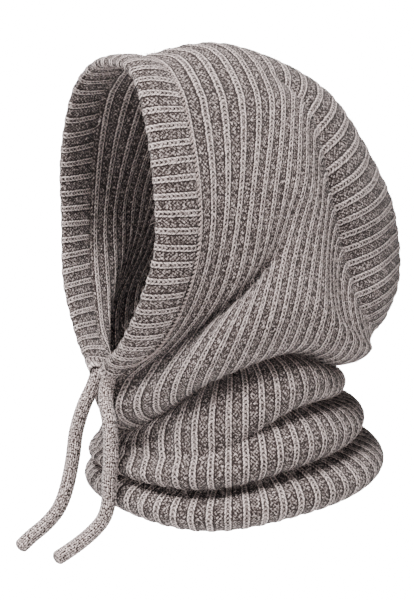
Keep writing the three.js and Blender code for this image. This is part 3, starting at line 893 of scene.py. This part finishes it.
# The casing's two ends are swollen by the cord and rolled in round it.
TIP_SWELL = 0.9
TIP_SWELL_INSIDE = 0.2
TIP_LENGTH = 0.06
TIP_CLOSING = 0.009
TIP_MOUTH = 0.44
TIP_STEPS = 8


def band_edge(share):
    """Points on the band's front edge, at shares of the way to the crown."""
    points = np.array(BAND_EDGE)
    value = through_stations(points[:1], points, points[-2] * MIRROR, share)
    return value * (HALF_WIDTH, HALF_DEPTH, HEIGHT) + (0, 0, WALL - HEIGHT)


def closed_section(steps):
    """The band's section with extra points on a smooth closed line."""
    section = np.array(BAND_SECTION)
    at = [np.roll(section, -k, axis=0)[:, None, :] for k in (-1, 0, 1, 2)]
    f = (np.arange(steps) / steps)[None, :, None]
    return through_four(*at, f).reshape(-1, 2)


def front_edge(levels):
    """Points and outward normals along the front edge of the hood."""
    grid = cloth_grid(np.array(EDGE_TURNS), levels)
    normals = unit(np.cross(np.gradient(grid, axis=0), np.gradient(grid, axis=1)))
    return grid[0], normals[0]


def band_frames(levels):
    """Front edge, width and outward direction of the band at each level of the hood's edge,
    and how near it is to the band's end, from 0 to 1."""
    fine = np.linspace(CHIN_ROW, CROWN_ROW, 161)
    hood_edge, wall_normal = front_edge(fine)
    seam = points_at(levels, fine, hood_edge - wall_normal * WALL / 2)
    normal = unit(points_at(levels, fine, wall_normal))
    share = np.interp(levels, np.arange(CHIN_ROW, CROWN_ROW + 1), BAND_SHARES)
    edge = band_edge(share)
    width = seam - edge
    path = band_edge(np.minimum(share + 0.01, 1)) - band_edge(share - 0.01)
    outwards = unit(np.cross(width, path))
    facing = np.einsum("ij,ij->i", outwards, normal)[:, None]
    bend = np.where(facing > 0, length_of(np.cross(outwards, normal)), 1)
    reach = SEAM_GAP + bend * (WALL / 2 + TURNED_EDGE)
    width = unit(width) * (length_of(width) - reach)
    return edge, width, outwards, np.exp(-share / TIP_LENGTH)


def close_tips(surface):
    """Rolls the edges of both open ends of the casing in round the cord."""
    ends = []
    for end, inner in ((surface[0], surface[3]), (surface[-1], surface[-4])):
        centre = end.mean(axis=0)
        away = unit(centre - inner.mean(axis=0))
        rings = []
        for step in range(1, TIP_STEPS + 1):
            angle = step / TIP_STEPS * math.pi
            shrink = (1 + TIP_MOUTH + (1 - TIP_MOUTH) * math.cos(angle)) / 2
            rings.append(centre + (end - centre) * shrink + away * TIP_CLOSING * math.sin(angle))
        ends.append(np.array(rings))
    return np.concatenate([ends[0][::-1], surface, ends[1]])


def make_face_band():
    """The casing's left half along the front edge, mirrored at the crown and closed at its ends."""
    fine = np.linspace(BAND_START, CROWN_ROW, 400)
    edge, width, _, _ = band_frames(fine)
    along = running_length(edge + width / 2)
    rib = rib_columns(BAND_RIBS_PER_SIDE)
    edge, width, outwards, tip = band_frames(
        np.interp(rib / BAND_RIBS_PER_SIDE * along[-1], along, fine))
    section = closed_section(POINTS_PER_SECTION_SPAN)
    swell = 1 + tip[:, None] * np.where(section[:, 1] > 0, TIP_SWELL, TIP_SWELL_INSIDE)
    half = (edge[:, None] + width[:, None] * section[None, :, :1]
            + outwards[:, None] * (section[:, 1] * MM * swell)[..., None])
    half[-1, :, 0] = 0
    grid = np.concatenate([half, half[-2::-1] * MIRROR])
    rib = np.concatenate([rib, 2 * rib[-1] - rib[-2::-1]])
    wrapped = np.concatenate([grid[:, -1:], grid, grid[:, :1]], axis=1)
    around = (wrapped[:, 2:] - wrapped[:, :-2]) / 2
    normals = unit(np.cross(around, np.gradient(grid, axis=0)))
    depth = BAND_RIB_DEPTH * np.clip((1 - section[:, 0]) / RIB_END, 0, 1)
    surface = close_tips(grid + normals * rib_height(rib)[:, None, None] * depth[None, :, None])
    rolled_in = np.arange(1, TIP_STEPS + 1) / TIP_STEPS / 2
    rib = np.concatenate([rib[0] - rolled_in[::-1], rib, rib[-1] + rolled_in])
    columns, sides = surface.shape[:2]
    first = columns * sides
    index = np.arange(first).reshape(columns, sides)
    index = np.hstack([index, index[:, :1]])
    closed = np.concatenate([surface, surface[:, :1]], axis=1)
    ribs = np.broadcast_to(rib[:, None], closed.shape[:2])
    face_sets = [turned_over(*ribbed_faces(index, ribs, closed)),
                 fan(index[0, :-1], index[0, 1:], first, WALE_PLACE),
                 fan(index[-1, 1:], index[-1, :-1], first + 1, WALE_PLACE)]
    points = np.vstack([surface.reshape(-1, 3), surface[0].mean(axis=0), surface[-1].mean(axis=0)])
    band = make_piece("band", points, face_sets, band_wool)
    mark_outer(band, len(face_sets[0][0]))
    return band


band_wool = make_rib_wool("band_wool", depth=0.0011, wander=0.13)
face_band = make_face_band()
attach(face_band, "root")
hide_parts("face_band")

# Seam stitches: slanting whip stitches of the same yarn, sewn by hand, that join the band's
# folded edges to the front edge of the hood.
STITCH_SPACING = 0.0036
STITCH_LENGTH = 0.0042
STITCH_THICKNESS = 0.0013
SEAM_RISE = 0.0002
SEAM_COLOUR = (0.30, 0.235, 0.22, 1)


def place_copies(nodes, given, result, points, copied, direction, scale):
    """Ends a tree: a copy along a direction at every point, made real and given its material."""
    turned = nodes.add("FunctionNodeAlignRotationToVector", {"Vector": direction}, axis="Z")
    copies = nodes.add(
        "GeometryNodeInstanceOnPoints",
        {"Points": points, "Instance": copied, "Rotation": turned, "Scale": scale})
    copies = nodes.add("GeometryNodeRealizeInstances", {"Geometry": copies})
    copies = nodes.add(
        "GeometryNodeSetMaterial", {"Geometry": copies, "Material": given["Material"]})
    nodes.feed(result, {"Geometry": copies})


def make_stitch_tree():
    """A slanting stitch at every step along a line of edges."""
    nodes, given, result = new_tree(
        "GeometryNodeTree", "seam_stitches",
        {"Geometry": "Geometry", "Spacing": "Float", "Length": "Float", "Thickness": "Float",
         "Material": "Material"}, {"Geometry": "Geometry"})
    line = nodes.add("GeometryNodeMeshToCurve", {"Mesh": given["Geometry"]})
    line = nodes.add(
        "GeometryNodeResampleCurve", {"Curve": line, "Length": given["Spacing"]}, mode="LENGTH")
    slant = nodes.add(
        "GeometryNodeInputNamedAttribute", {"Name": "slant"}, data_type="FLOAT_VECTOR")
    stitch = nodes.add("GeometryNodeMeshUVSphere", {"Segments": 8, "Rings": 6, "Radius": 0.5})
    scale = nodes.add(
        "ShaderNodeCombineXYZ", {0: given["Thickness"], 1: given["Thickness"], 2: given["Length"]})
    place_copies(nodes, given, result, line, stitch, slant, scale)
    return nodes.tree


def grown(name, base, tree, values):
    """A plain mesh object of what a Geometry Nodes tree makes from a base mesh."""
    piece = add_object(name, base)
    modifier = piece.modifiers.new(name, "NODES")
    modifier.node_group = tree
    for item in tree.interface.items_tree:
        if item.in_out == "INPUT" and item.name in values:
            modifier[item.identifier] = values[item.name]
    evaluated = piece.evaluated_get(bpy.context.evaluated_depsgraph_get())
    mesh = bpy.data.meshes.new_from_object(evaluated)
    piece.modifiers.clear()
    piece.data = mesh
    return piece


def make_seam_line():
    """The seam from one band end over the crown to the other, with the stitches' slant."""
    fine = np.linspace(BAND_START, CROWN_ROW, 200)
    hood_edge, normal = front_edge(fine)
    left = hood_edge + normal * SEAM_RISE
    _, width, _, _ = band_frames(fine)
    slant = unit(width) + unit(np.gradient(left, axis=0))
    line = np.concatenate([left, left[-2::-1] * MIRROR])
    slant = np.concatenate([slant, slant[-2::-1] * MIRROR])
    mesh = bpy.data.meshes.new("seam_line")
    mesh.from_pydata(line.tolist(), [(i, i + 1) for i in range(len(line) - 1)], [])
    mesh.attributes.new("slant", "FLOAT_VECTOR", "POINT").data.foreach_set("vector", slant.ravel())
    return mesh


seam_wool, _, seam_shader = new_wool("seam_wool")
seam_shader.inputs["Base Color"].default_value = SEAM_COLOUR
seam_stitches = grown("seam_stitches", make_seam_line(), make_stitch_tree(), {
    "Spacing": STITCH_SPACING, "Length": STITCH_LENGTH, "Thickness": STITCH_THICKNESS,
    "Material": seam_wool})
seam_stitches.data.shade_smooth()
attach(seam_stitches, "root")

# Loose fibres: the wool's fine fluff, which stands off the outer face of the hood and the band
# and softens their outline. Each grows out of the yarn and bends over.
FIBRES_PER_SQUARE_METRE = 33000.0
FIBRE_LENGTH = 0.0050
SHORTEST_FIBRE = 0.4
LONGEST_FIBRE = 1.3
FIBRE_THICKNESS = 0.00012
FIBRE_LEAN = 0.9
FIBRE_SEED = 7
FIBRE_COLOUR = (0.50, 0.41, 0.39, 1)


def make_fibre_tree():
    """Short bent fibres scattered over the faces marked as outer, each leaning its own way."""
    nodes, given, result = new_tree(
        "GeometryNodeTree", "loose_fibres",
        {"Geometry": "Geometry", "Density": "Float", "Length": "Float",
         "Thickness": "Float", "Lean": "Float", "Seed": "Int", "Material": "Material"},
        {"Geometry": "Geometry"})
    outer = nodes.add("GeometryNodeInputNamedAttribute", {"Name": "outer"}, data_type="BOOLEAN")
    scatter = nodes.add(
        "GeometryNodeDistributePointsOnFaces",
        {"Mesh": given["Geometry"], "Selection": outer,
         "Density": given["Density"], "Seed": given["Seed"]}).node
    aside = nodes.add(
        "FunctionNodeRandomValue", {0: (-1, -1, -1), 1: (1, 1, 1), "Seed": given["Seed"]},
        data_type="FLOAT_VECTOR")
    lean = nodes.vector("ADD", scatter.outputs["Normal"], nodes.scaled(aside, given["Lean"]))
    length = nodes.add(
        "FunctionNodeRandomValue", {2: SHORTEST_FIBRE, 3: LONGEST_FIBRE, "Seed": given["Seed"]},
        output=1, data_type="FLOAT")
    length = nodes.math("MULTIPLY", length, given["Length"])
    bent = nodes.add(
        "GeometryNodeCurveQuadraticBezier",
        {"Resolution": 2, "Start": (0, 0, 0), "Middle": (0, 0, 0.6), "End": (0.5, 0.1, 0.8)})
    radius = nodes.math("DIVIDE", given["Thickness"], given["Length"])
    radius = nodes.math("MULTIPLY", radius, 0.5)
    profile = nodes.add("GeometryNodeCurvePrimitiveCircle", {"Resolution": 3, "Radius": radius})
    fibre = nodes.add(
        "GeometryNodeCurveToMesh", {"Curve": bent, "Profile Curve": profile, "Fill Caps": True})
    place_copies(nodes, given, result, scatter.outputs["Points"], fibre, lean, length)
    return nodes.tree


fibre_wool, _, fibre_shader = new_wool("fibre_wool")
fibre_shader.inputs["Base Color"].default_value = FIBRE_COLOUR
fibre_tree = make_fibre_tree()
for fluff_name, base_piece, base_slot in (
        ("hood_fluff", knit_body, "knit_body"), ("band_fluff", face_band, "face_band")):
    fluff = grown(fluff_name, base_piece.data, fibre_tree, {
        "Density": FIBRES_PER_SQUARE_METRE, "Length": FIBRE_LENGTH,
        "Thickness": FIBRE_THICKNESS, "Lean": FIBRE_LEAN, "Seed": FIBRE_SEED,
        "Material": fibre_wool})
    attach(fluff, "root")

# Floor: plain and pale, well below the hood, which is held up at its crown. Only the camera
# sees it glow, so that no edge shows between it and the room.
FLOOR_BELOW_HEM = 0.10
FLOOR_SIZE = 30.0
FLOOR_GLOW = 20.0
FLOOR_COLOUR = (0.93, 0.93, 0.93, 1)
WHITE = (1, 1, 1, 1)

floor_mesh = bpy.data.meshes.new("floor")
corners = [(x * FLOOR_SIZE, y * FLOOR_SIZE, HEM_Z - FLOOR_BELOW_HEM)
           for x, y in ((-1, -1), (1, -1), (1, 1), (-1, 1))]
floor_mesh.from_pydata(corners, [], [(0, 1, 2, 3)])
floor_material, floor_nodes, floor_shader = new_material("pale_floor")
seen = floor_nodes.add("ShaderNodeLightPath", output="Is Camera Ray")
floor_nodes.feed(floor_shader, {
    "Base Color": FLOOR_COLOUR, "Roughness": 0.9, "Emission Color": WHITE,
    "Emission Strength": floor_nodes.math("MULTIPLY", seen, FLOOR_GLOW)})
floor_mesh.materials.append(floor_material)
add_object("floor", floor_mesh)

# Light: a white room all round, one large soft key from the upper front and a weak fill from
# the side. The camera sees the room brighter than it shines.
ROOM_LIGHT = 0.16
ROOM_SHOWN = 20.0
# Place, size in metres and power in watts of each light.
LIGHTS = {"key": ((0.5, -1.0, 2.35), 1.0, 330), "fill": ((1.45, -1.3, 0.0), 1.2, 9)}
LIGHT_TARGET = Vector((0, 0, -0.2))

world = bpy.data.worlds.new("room")
world.use_nodes = True
room = Nodes(world.node_tree)
shown = room.add("ShaderNodeLightPath", output="Is Camera Ray")
strength = room.math("MULTIPLY_ADD", shown, ROOM_SHOWN - ROOM_LIGHT, ROOM_LIGHT)
room.feed(world.node_tree.nodes["Background"], {"Color": WHITE, "Strength": strength})
bpy.context.scene.world = world

for light_name, (light_place, light_size, watts) in LIGHTS.items():
    light_data = bpy.data.lights.new(light_name, "AREA")
    light_data.size = light_size
    light_data.energy = watts
    light = add_object(light_name, light_data)
    light.location = light_place
    light.rotation_mode = "QUATERNION"
    light.rotation_quaternion = (LIGHT_TARGET - light.location).to_track_quat("-Z", "Y")
